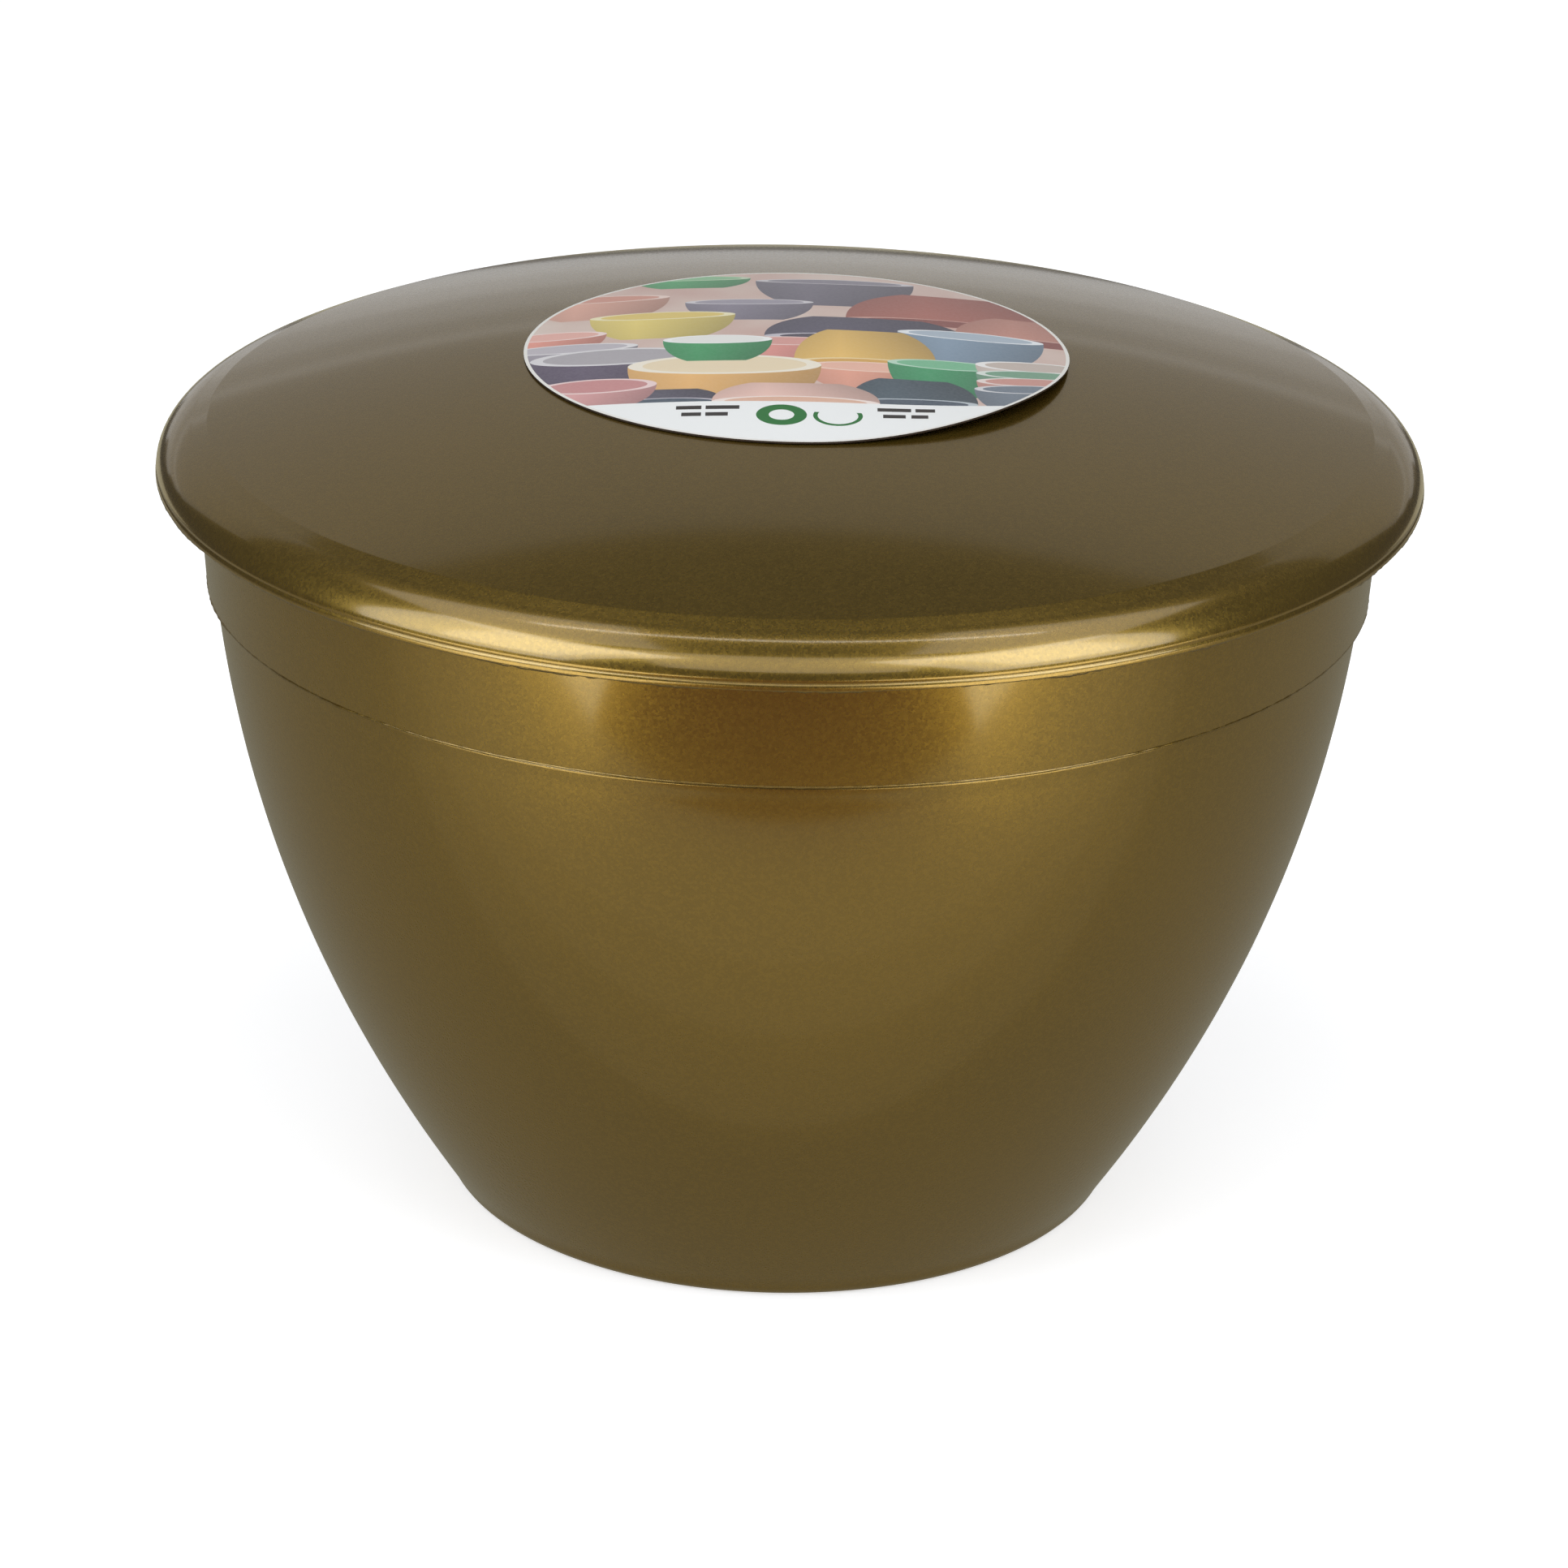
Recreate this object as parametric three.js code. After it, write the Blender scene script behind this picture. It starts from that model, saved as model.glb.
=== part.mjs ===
// A lidded pudding basin in pearlescent gold polypropylene: a thin moulded basin, a domed press-on lid,
// and a round paper label stuck on the lid. Millimetres, +Z up, origin at the centre of the foot.
// Every piece is its own section, drawn in (radius, height), turned about the Z axis. Each section runs
// from the axis out along the piece's underside and comes back to the axis over its top.
import * as THREE from "three";

// The basin
const STEP_HEIGHT = 74.65; // underside of the stacking step, where the plain wall meets the upper band
const WALL_TOP_RADIUS = 66.5; // plain wall just under the step
const WALL_BULGE = [64.1, 55.8]; // radii that shape the wall's curve, at two thirds and one third height
const FOOT_RADIUS = 39.1; // where the wall would meet the table without its rounded corner
const WALL = 1.4;
const STEP_WIDTH = 0.9; // the band stands out past the wall, so that stacked basins don't jam
const BAND_TOP_RADIUS = 68.3;
const RIM_HEIGHT = 90.6;
const RIM_RADIUS = 70.4; // edge of the turned-out rim that the lid presses over
const RIM_THICKNESS = 1.6;
const MOUTH_ROUNDING = 0.8;
const FOOT_CORNER = 2.4; // size of the rounded corner between the foot and the wall
const FOOT_RING_INNER = 32;
const FOOT_RECESS = 1.2; // the underside is hollowed by this much inside the foot ring
const FLOOR = 1.7;
const INNER_CORNER = 6; // size of the rounded corner between the floor and the inner wall

// The lid
const LID_RADIUS = 73; // bottom edge of the skirt, the widest circle of the object
const LID_BOTTOM = 87.8;
const LID_WALL = 1.3;
const SKIRT_TOP_RADIUS = 72.8; // where the rolled shoulder becomes the flared skirt
const SKIRT_TOP_HEIGHT = 89.8;
const SHOULDER_RADIUS = 69.6; // where the dome starts to roll over
const SHOULDER_HEIGHT = 92.9;
const LID_APEX = 102.5;
const LIP_RADIUS = 70.85; // inward lip at the foot of the skirt, clear of the basin's rim
const LIP_HEIGHT = 0.6;

// The label
const LABEL_RADIUS = 31.3;
const LABEL_THICKNESS = 0.25; // paper, adhesive and clear laminate
const LABEL_GAP = 0.15;

const SEGMENTS = 64; // round the axis
const GOLD = { color: 0x7d6430, roughness: 0.38, metalness: 0.35 };
const PAPER = { color: 0xe9e4dc, roughness: 0.5, metalness: 0 };

const at = (radius, height) => new THREE.Vector2(radius, height);

// A round edge about a centre, turning anticlockwise between two angles in degrees.
function arc(centre, radius, from, to, steps) {
  const [start, end] = [from, to].map(THREE.MathUtils.degToRad);
  return new THREE.EllipseCurve(centre.x, centre.y, radius, radius, start, end).getPoints(steps);
}

// A rounded corner from one point to another, drawn towards the sharp corner between them.
function rounded(from, corner, to, steps) {
  return new THREE.QuadraticBezierCurve(from, corner, to).getPoints(steps);
}

// The face of the plain wall from the step down to a height, set back into the wall by a depth.
function wallFace(lowest, depth, steps) {
  const face = new THREE.CubicBezierCurve(
    at(WALL_TOP_RADIUS, STEP_HEIGHT),
    at(WALL_BULGE[0], (STEP_HEIGHT * 2) / 3),
    at(WALL_BULGE[1], STEP_HEIGHT / 3),
    at(FOOT_RADIUS, 0),
  );
  const end = 1 - lowest / STEP_HEIGHT; // the curve's height falls evenly along it
  return Array.from({ length: steps + 1 }, (_, i) => {
    const t = (end * i) / steps;
    const along = face.getTangent(t);
    return face.getPoint(t).add(at(along.y, -along.x).multiplyScalar(depth));
  });
}

function basinSection() {
  const bandFoot = WALL_TOP_RADIUS + STEP_WIDTH;
  const rimEdge = RIM_THICKNESS / 2;
  const rimUnderside = RIM_HEIGHT - RIM_THICKNESS;
  const mouth = BAND_TOP_RADIUS - WALL;
  const floorTop = FOOT_RECESS + FLOOR;

  const outside = wallFace(FOOT_CORNER * 0.7, 0, 9).reverse();
  const footEdge = outside[0].x - FOOT_CORNER;
  const footCorner = rounded(at(footEdge, 0), at(FOOT_RADIUS, 0), outside[0], 3);
  const inside = wallFace(floorTop + INNER_CORNER * 0.4, WALL, 8);
  const wallEnd = inside.at(-1);
  const floorEdge = at(wallEnd.x - INNER_CORNER, floorTop);

  return [
    at(0, FOOT_RECESS),
    at(FOOT_RING_INNER - 1.5, FOOT_RECESS),
    at(FOOT_RING_INNER, 0),
    ...footCorner,
    ...outside.slice(1),
    at(bandFoot - 0.1, STEP_HEIGHT),
    at(bandFoot, STEP_HEIGHT + 0.4),
    at(BAND_TOP_RADIUS, rimUnderside - 0.5),
    at(BAND_TOP_RADIUS + 0.5, rimUnderside),
    ...arc(at(RIM_RADIUS - rimEdge, rimUnderside + rimEdge), rimEdge, -90, 90, 4),
    ...arc(at(mouth + MOUTH_ROUNDING, RIM_HEIGHT - MOUTH_ROUNDING), MOUTH_ROUNDING, 90, 180, 2),
    at(bandFoot - WALL, STEP_HEIGHT + 1.2),
    ...inside,
    ...rounded(wallEnd, at(wallEnd.x - 2, floorTop), floorEdge, 4).slice(1),
    at(0, floorTop),
  ];
}

// The lid's domed face from one radius to another, raised above the plastic by a lift.
function dome(from, to, lift, steps) {
  const fall = (LID_APEX - SHOULDER_HEIGHT) / SHOULDER_RADIUS ** 2;
  return Array.from({ length: steps + 1 }, (_, i) => {
    const radius = THREE.MathUtils.lerp(from, to, i / steps);
    return at(radius, LID_APEX - fall * radius ** 2 + lift);
  });
}

function lidSection() {
  const underside = dome(0, SHOULDER_RADIUS - 0.3, -LID_WALL, 6);
  const underRoll = new THREE.CubicBezierCurve(
    underside.at(-1),
    at(SHOULDER_RADIUS + 1, SHOULDER_HEIGHT - LID_WALL - 0.3),
    at(SKIRT_TOP_RADIUS - LID_WALL - 0.3, SKIRT_TOP_HEIGHT + 1.2),
    at(SKIRT_TOP_RADIUS - LID_WALL, SKIRT_TOP_HEIGHT - 0.2),
  );
  const roll = new THREE.CubicBezierCurve(
    at(SKIRT_TOP_RADIUS, SKIRT_TOP_HEIGHT),
    at(SKIRT_TOP_RADIUS, SKIRT_TOP_HEIGHT + 1.6),
    at(SHOULDER_RADIUS + 2.2, SHOULDER_HEIGHT - 0.3),
    at(SHOULDER_RADIUS, SHOULDER_HEIGHT),
  );
  return [
    ...underside,
    ...underRoll.getPoints(4).slice(1),
    at(LIP_RADIUS + 0.3, LID_BOTTOM + LIP_HEIGHT + 0.3),
    at(LIP_RADIUS, LID_BOTTOM + LIP_HEIGHT / 2),
    at(LIP_RADIUS + 0.3, LID_BOTTOM),
    at(LID_RADIUS - 0.2, LID_BOTTOM),
    at(LID_RADIUS, LID_BOTTOM + 0.2),
    ...roll.getPoints(5),
    ...dome(SHOULDER_RADIUS, 0, 0, 7).slice(1),
  ];
}

function labelSection() {
  return [...dome(0, LABEL_RADIUS, LABEL_GAP, 3), ...dome(LABEL_RADIUS, 0, LABEL_GAP + LABEL_THICKNESS, 3)];
}

function turned(name, section, finish) {
  const geometry = new THREE.LatheGeometry(section, SEGMENTS).rotateX(Math.PI / 2);
  const mesh = new THREE.Mesh(geometry, new THREE.MeshStandardMaterial(finish));
  mesh.name = name;
  return mesh;
}

const basin = turned("basin", basinSection(), GOLD);
const lid = turned("lid", lidSection(), GOLD);
const label = turned("label", labelSection(), PAPER);

const puddingBasin = new THREE.Group();
puddingBasin.add(basin, lid, label);

export default puddingBasin;
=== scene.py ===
"""The looks of a lidded pudding basin moulded in pearlescent gold plastic, with a round printed label."""

import math

import bpy
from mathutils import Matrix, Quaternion, Vector, noise


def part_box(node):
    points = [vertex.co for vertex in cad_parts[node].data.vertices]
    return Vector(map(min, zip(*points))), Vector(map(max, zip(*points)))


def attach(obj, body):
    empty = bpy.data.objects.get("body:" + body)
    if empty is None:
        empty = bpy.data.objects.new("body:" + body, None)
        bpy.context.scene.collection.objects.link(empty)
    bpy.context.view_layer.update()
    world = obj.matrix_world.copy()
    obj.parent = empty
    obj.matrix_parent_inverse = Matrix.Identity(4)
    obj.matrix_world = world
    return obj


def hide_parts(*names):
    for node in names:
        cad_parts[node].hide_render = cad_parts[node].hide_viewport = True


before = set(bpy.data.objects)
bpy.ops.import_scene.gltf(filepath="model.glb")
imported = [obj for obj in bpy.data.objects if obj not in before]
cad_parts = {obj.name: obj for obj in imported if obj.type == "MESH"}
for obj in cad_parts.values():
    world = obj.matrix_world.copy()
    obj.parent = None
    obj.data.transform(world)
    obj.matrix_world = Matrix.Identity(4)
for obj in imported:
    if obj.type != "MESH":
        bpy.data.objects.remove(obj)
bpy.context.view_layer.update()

MM = 0.001

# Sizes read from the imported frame, in millimetres
RIM_RADIUS, RIM_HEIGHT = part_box("basin")[1].x / MM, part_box("basin")[1].z / MM
LID_RADIUS, LID_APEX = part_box("lid")[1].x / MM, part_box("lid")[1].z / MM
LID_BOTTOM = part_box("lid")[0].z / MM
LABEL_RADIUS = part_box("label")[1].x / MM

# The basin's section, in millimetres
STEP_HEIGHT = 0.824 * RIM_HEIGHT  # where the plain wall meets the band that stands out past it
STEP_WIDTH = 0.9
WALL_TOP = RIM_RADIUS - 3.9  # radius of the plain wall just under the step
FOOT_RADIUS = RIM_RADIUS - 31.3  # where the wall would meet the table without its rounded corner
FOOT_CORNER_TOP = 1.7  # where the plain wall begins, above the rounded corner outside
INNER_CORNER_TOP = 5.3  # and above the one inside
FOOT_RECESS = 1.2
FLOOR_TOP = 2.9
WALL = 1.4  # thickness
RIM_THICKNESS = 1.6
BAND_CORNER = WALL_TOP + STEP_WIDTH  # radius of the band's lower edge

# The lid's section, in millimetres. From its middle out it is a dome, a narrow slope, a roll and a skirt.
SHOULDER_RADIUS, SHOULDER_HEIGHT = LID_RADIUS - 3.4, LID_APEX - 9.6  # the dome's curve aims for here
CREASE_RADIUS = LID_RADIUS - 6  # but stops short at a fine crease, where the narrow slope falls faster
CREST_RADIUS, CREST_HEIGHT = CREASE_RADIUS + 1.7, SHOULDER_HEIGHT  # where the roll begins
SKIRT_TOP_RADIUS, SKIRT_TOP_HEIGHT = LID_RADIUS - 0.4, LID_BOTTOM + 1.9
BEAD_HEIGHT = LID_BOTTOM + 0.8  # a fine groove runs round here, above the skirt's lower edge
LID_WALL = 1.3
LIP_GAP = 0.45  # between the basin's rim and the lip inside the skirt

# The label, in millimetres and degrees
LABEL_SHIFT = 0.5  # it is stuck on a little to the right
LABEL_UNDER, LABEL_TOP = 0.04, 0.26  # heights of its two faces above the dome
CURL_START = 0.60  # it lies flat inside this share of its radius
EDGE_HEIGHT = 0.10  # its edge has lifted this much all round
PEEL_ANGLE, PEEL_SPREAD, PEEL_HEIGHT = -36, 50, 1.0  # and has come away much more at its right front

TURNS = 192  # steps round the axis
RAGGED_STEPS = 900  # steps round a fin of flash, which is finer
LABEL_RINGS = 22  # steps from the middle of the label to its edge


# ---------------------------------------------------------------- camera, floor and light

WHITE = (1, 1, 1)
WARM = (1, 0.92, 0.62)  # light that has been off the gold plastic once already
COOL = (0.96, 1.02, 1.12)  # daylight
AMBER = (1, 0.42, 0.12)

CAMERA_PLACE, CAMERA_AIM = (0, -620 * MM, 302 * MM), (0, 0, 47.5 * MM)
CAMERA_LENS = 130
CAMERA_ROLL = 1.1  # degrees
LIGHTS_AIM = (0, 0, 60 * MM)
BRIGHT_EDGE = -0.162  # metres: nearer the front than this, the table is bright at both sides


def make_camera():
    """Looks down at the basin from the front, tilted a little to one side as a hand-held camera is."""
    data = bpy.data.cameras.new("camera")
    data.lens = CAMERA_LENS
    camera = bpy.data.objects.new("camera", data)
    bpy.context.scene.collection.objects.link(camera)
    camera.location = CAMERA_PLACE
    aim = (Vector(CAMERA_AIM) - camera.location).to_track_quat("-Z", "Y")
    camera.rotation_mode = "QUATERNION"
    camera.rotation_quaternion = aim @ Quaternion((0, 0, 1), math.radians(CAMERA_ROLL))
    bpy.context.scene.camera = camera


def area_light(name, width, height, radiance, colour):
    """A rectangular light of an even radiance, not yet in its place."""
    data = bpy.data.lights.new(name, "AREA")
    data.shape = "RECTANGLE"
    data.size, data.size_y = width, height
    data.energy = math.pi * radiance * data.size * data.size_y
    data.color = colour
    light = bpy.data.objects.new(name, data)
    bpy.context.scene.collection.objects.link(light)
    return light


def soft_light(name, azimuth, elevation, distance, width, height, radiance, colour=WHITE):
    """A rectangular soft light aimed at the basin. Azimuth 0 is in front of it, and 90 to its right."""
    a, e = math.radians(azimuth), math.radians(elevation)
    away = Vector((math.sin(a) * math.cos(e), -math.cos(a) * math.cos(e), math.sin(e)))
    light = area_light(name, width, height, radiance, colour)
    light.location = Vector(LIGHTS_AIM) + away * distance
    light.rotation_mode = "QUATERNION"
    light.rotation_quaternion = (-away).to_track_quat("-Z", "Y")
    return light


def table_glow(name, across, along, radiance, colour=WARM):
    """Light coming back up off part of the table top, between limits across it and along it, in metres."""
    light = area_light(name, across[1] - across[0], along[1] - along[0], radiance, colour)
    light.location = (sum(across) / 2, sum(along) / 2, -2 * MM)
    light.rotation_euler = (math.pi, 0, 0)


def make_studio():
    """A white floor that only the camera sees, soft lights round the basin, and light off the table."""
    bpy.ops.mesh.primitive_plane_add(size=6)
    floor = bpy.context.object
    floor.name = "floor"
    material, _, shader = new_material("floor_paper")
    shader.inputs["Base Color"].default_value = (0.85, 0.85, 0.85, 1)
    shader.inputs["Roughness"].default_value = 0.9
    shader.inputs["Specular IOR Level"].default_value = 0.1
    shader.inputs["Emission Color"].default_value = (1, 1, 1, 1)
    shader.inputs["Emission Strength"].default_value = 0.6
    floor.data.materials.append(material)
    floor.visible_diffuse = False
    floor.visible_glossy = False
    floor.visible_shadow = False

    world = bpy.data.worlds.new("studio")
    world.use_nodes = True
    world.node_tree.nodes["Background"].inputs["Color"].default_value = (1, 1, 1, 1)
    world.node_tree.nodes["Background"].inputs["Strength"].default_value = 0.05
    bpy.context.scene.world = world
    bpy.context.scene.view_settings.view_transform = "Standard"

    # Azimuth and elevation in degrees, then distance, width and height in metres, then radiance
    soft_light("front_left", -57, 32, 1.2, 0.95, 1.25, 1.45, COOL)
    soft_light("front_left_core", -50, 36, 1.15, 0.45, 0.85, 0.9, COOL)
    soft_light("front_right", 50, 32, 1.2, 0.85, 1.25, 1.5, COOL)
    soft_light("front_right_core", 50, 36, 1.15, 0.45, 0.85, 0.9, COOL)
    soft_light("front_middle", 0, 46, 1.2, 0.9, 1.0, 0.6)
    soft_light("side_left", -96, 66, 1.2, 0.8, 0.5, 0.7)
    soft_light("side_right", 96, 66, 1.2, 0.8, 0.5, 0.7)
    soft_light("fill", 0, 75, 1.2, 0.8, 0.8, 1.7).visible_glossy = False
    soft_light("overhead", 180, 80, 1.2, 0.9, 0.03, 4)
    soft_light("back", 180, 29, 1.3, 2.6, 0.74, 0.17)
    for elevation, width, radiance in ((-3, 0.9, 0.44), (2, 1.3, 0.40), (7, 1.9, 0.30), (12, 2.3, 0.22)):
        soft_light("horizon", 180, elevation, 1.3, width, 0.115, radiance)

    # The table is shaded close to the basin, and bright in front of it on both sides
    table_glow("table_front", (-0.50, 0.50), (BRIGHT_EDGE, -0.105), 0.30)
    table_glow("table_middle", (-0.45, 0.45), (-0.105, -0.085), 0.26)
    table_glow("table_shade", (-0.40, 0.40), (-0.085, -0.065), 0.21)
    table_glow("table_near", (-0.30, 0.30), (-0.065, 0.25), 0.16)
    table_glow("table_left", (-0.60, -0.10), (-0.70, BRIGHT_EDGE), 1.75)
    table_glow("table_right", (0.10, 0.60), (-0.70, BRIGHT_EDGE), 1.85)
    table_glow("table_back", (-0.40, 0.40), (0.25, 0.60), 0.35)
    table_glow("room_floor", (-0.10, 0.10), (-0.70, BRIGHT_EDGE), 0.12, AMBER)


# ---------------------------------------------------------------- sections, in (radius, height)

def blend(points, t):
    """The point at t along the Bezier curve through any number of control points."""
    while len(points) > 1:
        points = [a.lerp(b, t) for a, b in zip(points, points[1:])]
    return points[0]


def curve(points, steps):
    """The Bezier curve through control points, as that many steps."""
    points = [Vector(p) for p in points]
    return [blend(points, i / steps) for i in range(steps + 1)]


def outline(corners, steps=5):
    """Joins corners given as (radius, height, rounding) with straight sides. Its two ends stay sharp."""
    points = [Vector(c[:2]) for c in corners]
    made = [points[0]]
    for before, tip, after, c in zip(points, points[1:], points[2:], corners[1:]):
        start = tip + (before - tip).normalized() * c[2]
        end = tip + (after - tip).normalized() * c[2]
        made += curve((start, tip, end), steps) if c[2] else [tip]
    return made + [points[-1]]


def wall_face(lowest, depth, steps):
    """The plain wall's face from the step down to a height, set back into the wall by a depth."""
    third = STEP_HEIGHT / 3
    controls = [Vector(p) for p in (
        (WALL_TOP, STEP_HEIGHT), (WALL_TOP - 2.4, 2 * third), (WALL_TOP - 10.7, third), (FOOT_RADIUS, 0))]
    made = []
    for i in range(steps + 1):
        t = (1 - lowest / STEP_HEIGHT) * i / steps
        along = (blend(controls[1:], t) - blend(controls[:-1], t)).normalized()
        made.append(blend(controls, t) + Vector((along.y, -along.x)) * depth)
    return made


def corner(point, rounding=0):
    """A point as a corner for outline()."""
    return (point.x, point.y, rounding)


def basin_section():
    """The whole section of the basin, from the middle of its underside round to the middle of its floor."""
    outside = wall_face(FOOT_CORNER_TOP, 0, 56)[::-1]
    inside = wall_face(INNER_CORNER_TOP, WALL, 44)
    foot, wall_end = outside[0], inside[-1]
    foot_edge, rim_under = foot.x - 2.3, RIM_HEIGHT - RIM_THICKNESS
    band_top = WALL_TOP + 1.8

    # The underside, from the gate mark at its middle out to the foot ring, and round the foot's corner
    section = outline([
        (0, 0.7, 0), (1.7, 0.7, 0.2), (2.1, FOOT_RECESS, 0.2), (30.5, FOOT_RECESS, 0.8), (32, 0, 0.5),
        (foot_edge, 0, 0)])
    section += curve([(foot_edge, 0), (foot.x - 0.9, 0), (foot.x - 0.5, 0.5), foot], 8)[1:]

    # The wall, a fine groove under the step, the step and the band
    section += outside[1:-1]
    section += outline([
        corner(outside[-2]), (WALL_TOP, STEP_HEIGHT - 0.45, 0.2), (WALL_TOP - 0.35, STEP_HEIGHT, 0.05),
        (BAND_CORNER, STEP_HEIGHT, 0.22), (band_top, rim_under - 0.6, 0.4), (band_top + 0.6, rim_under, 0.3),
        (RIM_RADIUS - 0.8, rim_under, 0)])[1:]

    # The turned-out rim, with a round edge that its control points overshoot
    rim_edge = RIM_RADIUS + 0.26
    section += curve([
        (RIM_RADIUS - 0.8, rim_under), (rim_edge, rim_under), (rim_edge, RIM_HEIGHT),
        (RIM_RADIUS - 0.8, RIM_HEIGHT)], 12)[1:]

    # The inside of the band and the wall, and the floor
    section += outline([
        (RIM_RADIUS - 0.8, RIM_HEIGHT, 0), (band_top - WALL, RIM_HEIGHT, 0.8),
        (BAND_CORNER - WALL, STEP_HEIGHT + 1.2, 0.5), corner(inside[1])])[1:-1]
    section += inside[1:]
    section += curve([
        wall_end, (wall_end.x - 1.4, 3.7), (wall_end.x - 3, FLOOR_TOP), (wall_end.x - 6, FLOOR_TOP)], 12)[1:]
    return section + [Vector((2.2, FLOOR_TOP)), Vector((0, FLOOR_TOP))]


def dome_height(radius):
    """The height of the lid's dome at a radius."""
    return LID_APEX - (LID_APEX - SHOULDER_HEIGHT) * (radius / SHOULDER_RADIUS) ** 2


def dome(start, end, lift, steps):
    """The dome's face between two radii, raised by a lift."""
    radii = [start + (end - start) * i / steps for i in range(steps + 1)]
    return [Vector((r, dome_height(r) + lift)) for r in radii]


def lid_section():
    """The whole section of the lid, from the middle of its underside round to the middle of its top."""
    inner, lip = SKIRT_TOP_RADIUS - LID_WALL, RIM_RADIUS + LIP_GAP
    gate_mark = LID_APEX - 1.9

    # The underside: a gate mark at the middle, the dome, and the inside of the roll
    section = outline([
        (0, gate_mark, 0), (1.4, gate_mark, 0.2), (1.7, gate_mark + 0.6, 0.15),
        (3, dome_height(3) - LID_WALL, 0)])
    section += dome(3, CREASE_RADIUS + 1, -LID_WALL, 24)[1:]
    section += curve([
        section[-1], (SHOULDER_RADIUS + 0.6, SHOULDER_HEIGHT - 1.6),
        (inner - 0.2, SKIRT_TOP_HEIGHT + 1), (inner, SKIRT_TOP_HEIGHT - 0.2)], 12)[1:]

    # The lip inside the skirt, the skirt's lower edge, and the fine groove above that
    roll_foot = (LID_RADIUS - 0.08, BEAD_HEIGHT + 0.25)
    section += outline([
        (inner, SKIRT_TOP_HEIGHT - 0.2, 0), (lip + 0.3, LID_BOTTOM + 0.9, 0.2), (lip, LID_BOTTOM + 0.3, 0.2),
        (lip + 0.3, LID_BOTTOM, 0.1), (LID_RADIUS, LID_BOTTOM, 0.15), (LID_RADIUS, BEAD_HEIGHT - 0.1, 0.3),
        (LID_RADIUS - 0.16, BEAD_HEIGHT, 0.05), roll_foot + (0,)])[1:]

    # The roll, the narrow slope and the dome
    roll = curve([
        roll_foot, (LID_RADIUS - 0.3, BEAD_HEIGHT + 2.3), (CREST_RADIUS + 2.0, CREST_HEIGHT - 0.75),
        (CREST_RADIUS, CREST_HEIGHT)], 28)
    top = dome(CREASE_RADIUS, 0, 0, 40)
    section += roll[1:-1]
    section += outline([
        corner(roll[-2]), (CREST_RADIUS, CREST_HEIGHT, 0.12), corner(top[0], 0.1), corner(top[1])])[1:]
    return section + top[2:]


# ---------------------------------------------------------------- meshes

def new_piece(name, verts, faces):
    """A smooth-shaded object made from these points and faces."""
    mesh = bpy.data.meshes.new(name)
    mesh.from_pydata(verts, [], faces)
    mesh.update()
    mesh.shade_smooth()
    piece = bpy.data.objects.new(name, mesh)
    bpy.context.scene.collection.objects.link(piece)
    return piece


def lathe(name, section):
    """Turns a section about the Z axis. It starts and ends on the axis."""
    verts, rings, faces = [], [], []
    for radius, height in section:
        count = TURNS if radius > 1e-6 else 1
        rings.append(range(len(verts), len(verts) + count))
        for i in range(count):
            a = 2 * math.pi * i / count
            verts.append(Vector((radius * math.cos(a), radius * math.sin(a), height)) * MM)
    for low, high in zip(rings, rings[1:]):
        for i in range(TURNS):
            j = (i + 1) % TURNS
            quad = (low[i % len(low)], low[j % len(low)], high[j % len(high)], high[i % len(high)])
            faces.append(tuple(dict.fromkeys(quad)))
    return new_piece(name, verts, faces)


# ---------------------------------------------------------------- shader helpers

def socket(tree, target, value):
    """Links a socket, or sets a value, on another node's input."""
    if isinstance(value, bpy.types.NodeSocket):
        tree.links.new(value, target)
    else:
        target.default_value = value


def add(tree, kind, *values, **settings):
    """Adds a node with these settings, and gives its inputs these values or links, in order."""
    node = tree.nodes.new(kind)
    for key, value in settings.items():
        setattr(node, key, value)
    for target, value in zip(node.inputs, values):
        if value is not None:
            socket(tree, target, value)
    return node


def calc(tree, operation, *values):
    """The result of one sum on these values or links."""
    return add(tree, "ShaderNodeMath", *values, operation=operation).outputs[0]


def texture(tree, kind, place, scale):
    """A texture node at these coordinates, with this scale."""
    node = add(tree, kind, place)
    node.inputs["Scale"].default_value = scale
    return node


def object_place(tree):
    """The coordinates of the shaded point in its own piece, in metres."""
    return tree.nodes.new("ShaderNodeTexCoord").outputs["Object"]


def both(tree, first, second):
    """The mask that is 1 where two masks are both 1."""
    return calc(tree, "MULTIPLY", first, second)


def near(tree, value, centre, reach):
    """The mask that is 1 where a value is closer than this reach to a centre."""
    return calc(tree, "LESS_THAN", calc(tree, "ABSOLUTE", calc(tree, "SUBTRACT", value, centre)), reach)


def distance(tree, x, y):
    """How far the point (x, y) is from (0, 0)."""
    squares = calc(tree, "ADD", calc(tree, "MULTIPLY", x, x), calc(tree, "MULTIPLY", y, y))
    return calc(tree, "SQRT", squares)


def layer(tree, mask, under, over):
    """The colour `under`, covered by the colour `over` where the mask is 1."""
    node = tree.nodes.new("ShaderNodeMix")
    node.data_type = "RGBA"
    for name, value in (("Factor_Float", mask), ("A_Color", under), ("B_Color", over)):
        socket(tree, next(s for s in node.inputs if s.identifier == name), value)
    return next(s for s in node.outputs if s.identifier == "Result_Color")


def paint(code):
    """A linear colour from an sRGB hex code."""
    parts = [int(code[i:i + 2], 16) / 255 for i in (0, 2, 4)]
    linear = [c / 12.92 if c <= 0.04045 else ((c + 0.055) / 1.055) ** 2.4 for c in parts]
    return (*linear, 1)


def new_material(name):
    """A new material, its node tree and its surface shader."""
    material = bpy.data.materials.new(name)
    material.use_nodes = True
    return material, material.node_tree, material.node_tree.nodes["Principled BSDF"]


# ---------------------------------------------------------------- materials

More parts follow.
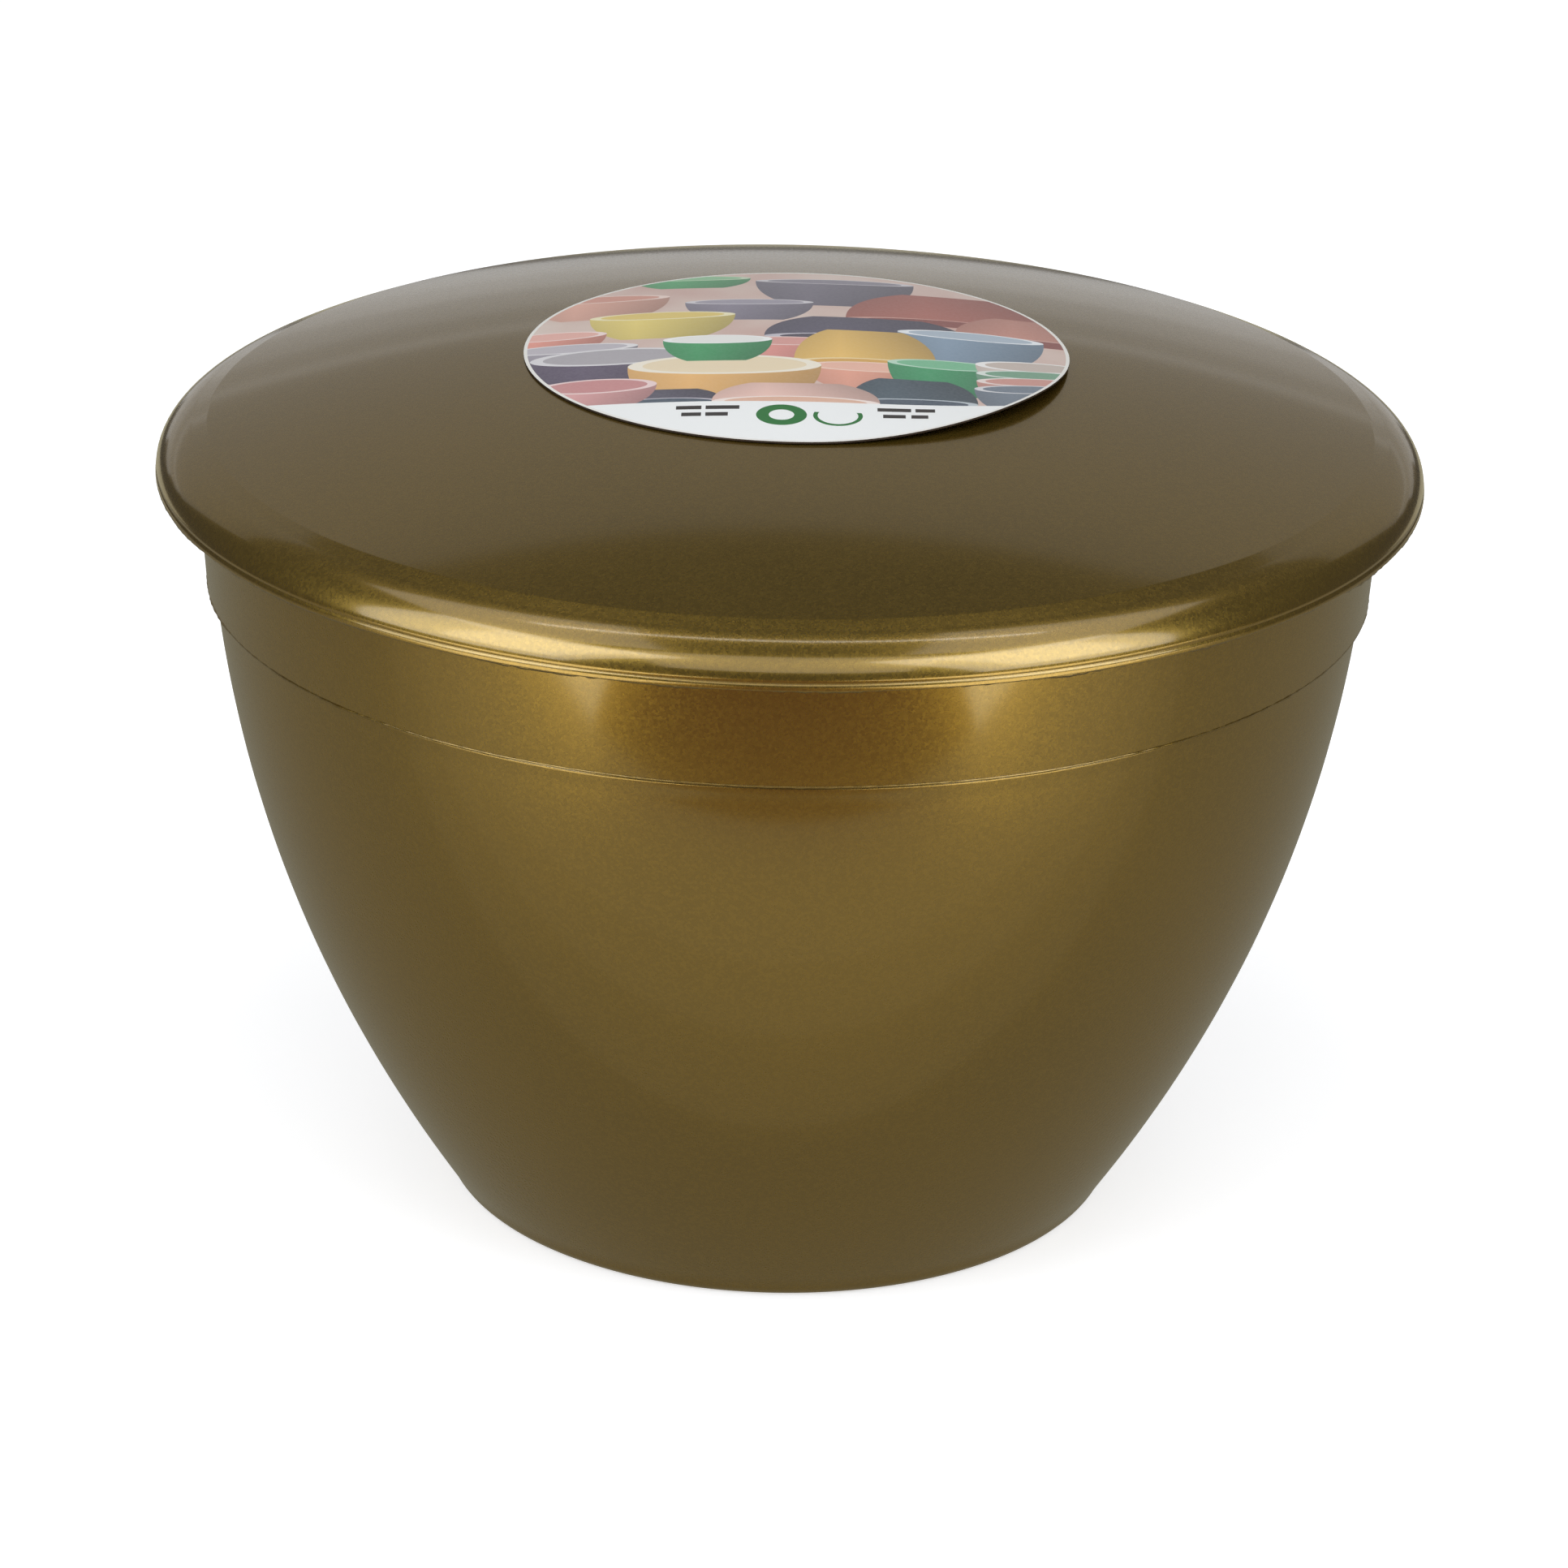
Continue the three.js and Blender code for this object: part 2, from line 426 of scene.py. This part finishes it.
PEARL_GOLD = (0.43, 0.272, 0.042, 1)
BLACK = (0, 0, 0, 1)
FLAKE_SCALE = 3400  # flakes per metre, so each one is about 0.3 mm across
GRAIN_SCALE = 1500
CLOUD_SCALE = 38


def gold_plastic(name):
    """Polypropylene filled with gold pearl pigment: fine flakes under a glossy moulded skin."""
    material, tree, shader = new_material(name)
    place = object_place(tree)
    flakes = texture(tree, "ShaderNodeTexVoronoi", place, FLAKE_SCALE)
    flake = add(tree, "ShaderNodeSeparateColor", flakes.outputs["Color"]).outputs
    grain = texture(tree, "ShaderNodeTexNoise", place, GRAIN_SCALE).outputs[0]
    clouds = texture(tree, "ShaderNodeTexNoise", place, CLOUD_SCALE)
    clouds.inputs["Detail"].default_value = 3
    cloud = clouds.outputs[0]

    # A few flakes catch more light than the rest, and the pigment is a little cloudy
    glint = calc(tree, "POWER", flake[0], 3)
    shade = calc(tree, "MULTIPLY_ADD", glint, 0.26, 0.82)
    shade = calc(tree, "MULTIPLY_ADD", cloud, 0.16, shade)
    socket(tree, shader.inputs["Base Color"], layer(tree, shade, BLACK, PEARL_GOLD))
    shader.inputs["Metallic"].default_value = 0.9

    # Some flakes are rougher than others, and a clear skin lies over them all
    rough = calc(tree, "MULTIPLY_ADD", flake[1], 0.08, 0.20)
    rough = calc(tree, "MULTIPLY_ADD", cloud, 0.04, rough)
    socket(tree, shader.inputs["Roughness"], rough)
    shader.inputs["Coat Weight"].default_value = 1
    shader.inputs["Coat Roughness"].default_value = 0.10
    shader.inputs["Coat IOR"].default_value = 1.8

    # The flakes, and a coarser grain under them, stand out very slightly
    bump = add(tree, "ShaderNodeBump")
    bump.inputs["Strength"].default_value = 0.07
    bump.inputs["Distance"].default_value = 0.01 * MM
    socket(tree, bump.inputs["Height"], calc(tree, "MULTIPLY_ADD", flake[2], 0.4, grain))
    tree.links.new(bump.outputs[0], shader.inputs["Normal"])
    return material


# Each bowl on the label: rim centre, half width, rim half height, depth (below 0 is upside down), and
# the colours of its body, rim and inside. Back ones come first. Sizes on the label are shares of its
# radius: the first number of a place goes across to the right, and the second to the far side.
BOWLS = (
    ((-0.40, 0.89), 0.22, 0.04, 0.20, "4fa869", "cfe0c0", "8fc493"),
    ((-0.74, 0.59), 0.26, 0.05, 0.34, "e9b09a", "f6ddd0", "d99a86"),
    ((0.14, 0.84), 0.30, 0.04, 0.46, "77707c", "d8d2d4", "8d8690"),
    ((0.64, 0.28), 0.46, 0.05, -0.46, "b0685a", "d3a092", "8e4c43"),
    ((0.92, 0.13), 0.34, 0.05, -0.34, "c98d7c", "e0b9ab", "8e4c43"),
    ((-0.18, 0.49), 0.24, 0.04, 0.30, "8c8492", "ddd7d9", "a49da8"),
    ((-0.50, 0.31), 0.27, 0.05, 0.34, "f0d878", "faf0c4", "e9cd70"),
    ((0.26, 0.03), 0.38, 0.05, -0.30, "5d5767", "cdc7cd", "4d4451"),
    ((0.64, 0.14), 0.27, 0.05, 0.42, "8ba0b2", "f4f6f6", "b3c0ca"),
    ((-0.90, 0.11), 0.20, 0.05, 0.24, "ef9f8c", "fbe3da", "eeb5a6"),
    ((-0.84, -0.05), 0.26, 0.05, 0.22, "a39ba3", "ece8e6", "c3bcc0"),
    ((-0.03, -0.03), 0.20, 0.05, 0.30, "e99a8e", "f7d9cf", "e2a297"),
    ((0.25, -0.26), 0.26, 0.06, -0.44, "f2c56b", "fae3ae", "e0ac55"),
    ((0.27, -0.29), 0.24, 0.05, 0.26, "f0a98f", "fbd9c4", "f3bda5"),
    ((-0.66, -0.17), 0.31, 0.09, 0.36, "63566a", "e4e0df", "b3adaf"),
    ((0.55, -0.22), 0.22, 0.05, 0.40, "3f9c66", "c3e2c9", "7cbf93"),
    ((-0.26, -0.29), 0.35, 0.10, 0.46, "f3bd74", "fbf1dc", "f3dfba"),
    ((-0.29, -0.01), 0.20, 0.05, 0.28, "3fa163", "fdfcf7", "f4f2ea"),
    ((0.88, -0.18), 0.23, 0.06, 0.30, "e0cfc2", "f8f4ee", "cdbdb0"),
    ((0.87, -0.28), 0.22, 0.05, 0.30, "79a486", "e4ebe0", "79a486"),
    ((0.86, -0.37), 0.21, 0.05, 0.30, "d59a8c", "f2e1d8", "d59a8c"),
    ((0.84, -0.46), 0.20, 0.05, 0.30, "77818c", "dfdedd", "77818c"),
    ((0.42, -0.64), 0.23, 0.05, -0.28, "4e5d66", "c3cbce", "4a5764"),
    ((-0.46, -0.65), 0.20, 0.04, -0.14, "5c5765", "c8c2c8", "4a5764"),
    ((-0.72, -0.47), 0.22, 0.07, 0.24, "e3a6a2", "f4d8d3", "cf8f8c"),
    ((0.00, -0.65), 0.30, 0.05, -0.20, "f3c9b9", "fbe9de", "e6b79c"),
)
STRIP_EDGE = -0.65  # the picture ends here, and the plain white strip in front of it begins
# Dark dashes on the strip, where small print would be: centre across, height up, half width
MARKS = (
    (-0.38, -0.705, 0.045), (-0.26, -0.705, 0.06), (-0.37, -0.765, 0.035), (-0.28, -0.765, 0.04),
    (0.35, -0.705, 0.06), (0.46, -0.705, 0.035), (0.35, -0.765, 0.04), (0.44, -0.765, 0.03),
)
MARK_REACH = 0.016  # half the height of a dash
RING_HEIGHT = -0.77
# Green rings on the strip: centre across, inner radius, outer radius, and where the ring is cut off
RINGS = ((-0.05, 0.045, 0.09, STRIP_EDGE), (0.15, 0.072, 0.088, RING_HEIGHT + 0.03))
BORDER = 0.987  # radius where the bare edge of the label begins


def bowl_group():
    """A node group that draws one bowl over a picture: its body, then its rim, then its inside."""
    group = bpy.data.node_groups.new("printed_bowl", "ShaderNodeTree")
    face = group.interface
    for name, kind in (("Picture", "Color"), ("Across", "Float"), ("Up", "Float"), ("Half width", "Float"),
                       ("Rim height", "Float"), ("Depth", "Float"), ("Body", "Color"), ("Rim", "Color"),
                       ("Inside", "Color")):
        face.new_socket(name, in_out="INPUT", socket_type="NodeSocket" + kind)
    face.new_socket("Picture", in_out="OUTPUT", socket_type="NodeSocketColor")
    given = group.nodes.new("NodeGroupInput").outputs

    # The body lies below the rim's centre, narrows downwards, and is cut off flat at its foot
    x = calc(group, "DIVIDE", given["Across"], given["Half width"])
    across = calc(group, "MULTIPLY", x, x)
    down = calc(group, "DIVIDE", calc(group, "MULTIPLY", given["Up"], -1), given["Depth"])
    belly = calc(group, "ADD", across, calc(group, "POWER", calc(group, "MAXIMUM", down, 0), 2.2))
    body = both(group, calc(group, "GREATER_THAN", down, 0), calc(group, "LESS_THAN", belly, 1))
    body = both(group, body, calc(group, "LESS_THAN", down, 0.86))

    # It is lightest left of its middle and near its rim
    glow = calc(group, "ABSOLUTE", calc(group, "ADD", x, 0.35))
    glow = calc(group, "MULTIPLY_ADD", glow, -0.34, 1.08)
    glow = calc(group, "MULTIPLY_ADD", down, -0.22, glow)
    lit = add(group, "ShaderNodeVectorMath", given["Body"], operation="SCALE")
    socket(group, lit.inputs["Scale"], glow)
    picture = layer(group, body, given["Picture"], lit.outputs[0])

    # The rim is an ellipse, with the inside of the bowl as a smaller one on it
    y = calc(group, "DIVIDE", given["Up"], given["Rim height"])
    rim = calc(group, "ADD", across, calc(group, "MULTIPLY", y, y))
    picture = layer(group, calc(group, "LESS_THAN", rim, 1), picture, given["Rim"])
    picture = layer(group, calc(group, "LESS_THAN", rim, 0.72), picture, given["Inside"])
    done = group.nodes.new("NodeGroupOutput")
    group.links.new(picture, done.inputs[0])
    return group


def label_print():
    """The label's printed face: a picture of stacked coloured bowls, and a white strip with plain marks."""
    material, tree, shader = new_material("label_print")
    place = object_place(tree)
    axes = add(tree, "ShaderNodeSeparateXYZ", place).outputs
    u = calc(tree, "DIVIDE", calc(tree, "SUBTRACT", axes[0], LABEL_SHIFT * MM), LABEL_RADIUS * MM)
    v = calc(tree, "DIVIDE", axes[1], LABEL_RADIUS * MM)

    # The picture: a soft background, the bowls over it, and a paler grain over them
    cloth = texture(tree, "ShaderNodeTexNoise", place, 90)
    picture = layer(tree, cloth.outputs[0], paint("c9968a"), paint("eadccd"))
    group = bowl_group()
    for (cu, cv), width, rim, depth, *colours in BOWLS:
        node = tree.nodes.new("ShaderNodeGroup")
        node.node_tree = group
        across, up = calc(tree, "SUBTRACT", u, cu), calc(tree, "SUBTRACT", v, cv)
        values = (picture, across, up, width, rim, depth, *(paint(c) for c in colours))
        for target, value in zip(node.inputs, values):
            socket(tree, target, value)
        picture = node.outputs[0]
    grain = texture(tree, "ShaderNodeTexNoise", place, 2600)
    picture = layer(tree, calc(tree, "MULTIPLY", grain.outputs[0], 0.10), picture, (1, 1, 1, 1))

    # The strip and what is printed on it
    picture = layer(tree, calc(tree, "LESS_THAN", v, STRIP_EDGE), picture, paint("fbfbf7"))
    for centre, height, reach in MARKS:
        mark = both(tree, near(tree, u, centre, reach), near(tree, v, height, MARK_REACH))
        picture = layer(tree, mark, picture, paint("3f3b38"))
    for centre, inner, outer, cut in RINGS:
        away = distance(tree, calc(tree, "SUBTRACT", u, centre), calc(tree, "SUBTRACT", v, RING_HEIGHT))
        ring = both(tree, calc(tree, "GREATER_THAN", away, inner), calc(tree, "LESS_THAN", away, outer))
        ring = both(tree, ring, calc(tree, "LESS_THAN", v, cut))
        picture = layer(tree, ring, picture, paint("35793f"))

    # The bare edge of the label all round
    edge = calc(tree, "GREATER_THAN", distance(tree, u, v), BORDER)
    picture = layer(tree, edge, picture, paint("f4f1e8"))
    socket(tree, shader.inputs["Base Color"], picture)
    shader.inputs["Roughness"].default_value = 0.35
    shader.inputs["Coat Weight"].default_value = 0.25
    shader.inputs["Coat Roughness"].default_value = 0.15
    return material


def label_underside_painted_shade():
    """The label's underside and edge, painted dark and mottled at random, as painted shade for the shadow
    under the label and along its edge.
    """
    material, tree, shader = new_material("label_underside_painted_shade")
    shade_mottle = texture(tree, "ShaderNodeTexNoise", object_place(tree), 400)
    # Painted shade: two dark browns, mixed by a random mottle, stand for the shadow under the label's lifted
    # edge
    brown = layer(tree, shade_mottle.outputs[0], paint("2b2018"), paint("4a3826"))
    socket(tree, shader.inputs["Base Color"], brown)
    shader.inputs["Roughness"].default_value = 0.7
    return material


# ---------------------------------------------------------------- pieces

def make_basin():
    """The bowl itself, with its foot, its stepped wall and its turned-out rim."""
    piece = lathe("basin_shell", basin_section())
    piece.data.materials.append(gold_plastic("basin_gold"))
    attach(piece, "basin")
    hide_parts("basin")


def make_lid():
    """The press-on lid, with its shallow dome, its rolled edge and the short skirt below that."""
    piece = lathe("lid_shell", lid_section())
    piece.data.materials.append(gold_plastic("lid_gold"))
    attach(piece, "lid")
    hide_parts("lid")


def ragged_edge(section, reach, seed):
    """A thin fin of flash all round an edge. The middle corner of its section is its tip, which sticks
    out by a varying amount."""
    verts, faces = [], []
    root_a, tip, root_b = section
    for i in range(RAGGED_STEPS):
        a = 2 * math.pi * i / RAGGED_STEPS
        place = Vector((math.cos(a), math.sin(a), 0))
        ragged = noise.noise(place * 9 + seed) + 0.6 * noise.noise(place * 60 + seed)
        out = max(0, ragged + 0.15)
        ragged_tip = (tip[0] + reach[0] * out, tip[1] + reach[1] * out)
        for radius, height in (root_a, ragged_tip, root_b):
            verts.append((place * radius + Vector((0, 0, height))) * MM)
    for i in range(RAGGED_STEPS):
        here, there = 3 * i, 3 * ((i + 1) % RAGGED_STEPS)
        for low, high in ((0, 1), (1, 2), (2, 0)):
            faces.append((here + low, there + low, there + high, here + high))
    return verts, faces


def sliver(verts, faces, angle, length, bend):
    """Adds a loose curling sliver of plastic that stands up from the skirt's lower edge and tapers."""
    steps, thickness = 8, 0.10
    a, first = math.radians(angle), len(verts)
    out, side = Vector((math.cos(a), math.sin(a), 0)), Vector((-math.sin(a), math.cos(a), 0))
    for i in range(steps + 1):
        t = i / steps
        middle = out * (LID_RADIUS - 0.12 - 0.2 * t) + side * bend * length * t * t * 0.9
        middle += Vector((0, 0, LID_BOTTOM - 0.05 + length * t))
        width = thickness * (1 - 0.8 * t)
        for turn in range(3):
            b = 2 * math.pi * turn / 3
            verts.append((middle + out * width * math.cos(b) + side * width * math.sin(b)) * MM)
    for i in range(steps):
        here = first + 3 * i
        for turn in range(3):
            following = (turn + 1) % 3
            faces.append((here + turn, here + following, here + 3 + following, here + 3 + turn))
    last = first + 3 * steps
    faces += [(first + 2, first + 1, first), (last, last + 1, last + 2)]


def make_flash():
    """The thin untrimmed plastic left along the skirt's lower edge and along the basin's step."""
    edge = (
        (LID_RADIUS - 0.3, LID_BOTTOM + 0.05), (LID_RADIUS - 0.08, LID_BOTTOM),
        (LID_RADIUS - 0.02, LID_BOTTOM + 0.2))
    verts, faces = ragged_edge(edge, (0, -0.3), Vector((0, 0, 0)))
    sliver(verts, faces, -79.2, 1.4, 1)
    sliver(verts, faces, -91, 0.35, -1)
    piece = new_piece("lid_flash", verts, faces)
    piece.data.materials.append(bpy.data.materials["lid_gold"])
    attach(piece, "lid")

    edge = (
        (BAND_CORNER - 0.2, STEP_HEIGHT + 0.02), (BAND_CORNER + 0.02, STEP_HEIGHT + 0.05),
        (BAND_CORNER + 0.01, STEP_HEIGHT + 0.3))
    piece = new_piece("basin_flash", *ragged_edge(edge, (0.14, -0.06), Vector((0, 0, 5))))
    piece.data.materials.append(bpy.data.materials["basin_gold"])
    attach(piece, "basin")


def label_lift(x, y):
    """How far the label's edge has come away from the lid, in millimetres, at a place on the label."""
    radius, angle = math.hypot(x, y) / LABEL_RADIUS, math.degrees(math.atan2(y, x))
    peel = max(0, 1 - abs(angle - PEEL_ANGLE) / PEEL_SPREAD)
    curl = max(0, (radius - CURL_START) / (1 - CURL_START))
    return (EDGE_HEIGHT + PEEL_HEIGHT * (peel * peel * (3 - 2 * peel))) * curl ** 1.7


def make_label():
    """A thin disc that follows the dome, printed on top, with painted shade on its edge and underneath."""
    under = dome(0, LABEL_RADIUS, LABEL_UNDER, LABEL_RINGS)
    top = dome(LABEL_RADIUS, 0, LABEL_TOP, LABEL_RINGS)
    piece = lathe("label_disc", under + top)
    for vertex in piece.data.vertices:
        vertex.co.z += label_lift(vertex.co.x / MM, vertex.co.y / MM) * MM
        vertex.co.x += LABEL_SHIFT * MM
    piece.data.materials.append(label_print())
    piece.data.materials.append(label_underside_painted_shade())
    for face in piece.data.polygons:
        # The top face takes the print, and the edge and the underside take the painted shade
        face.material_index = 0 if face.normal.z > 0.5 else 1
    piece.data.set_sharp_from_angle(angle=math.radians(40))
    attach(piece, "lid")
    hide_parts("label")


make_camera()
make_studio()
make_basin()
make_lid()
make_flash()
make_label()
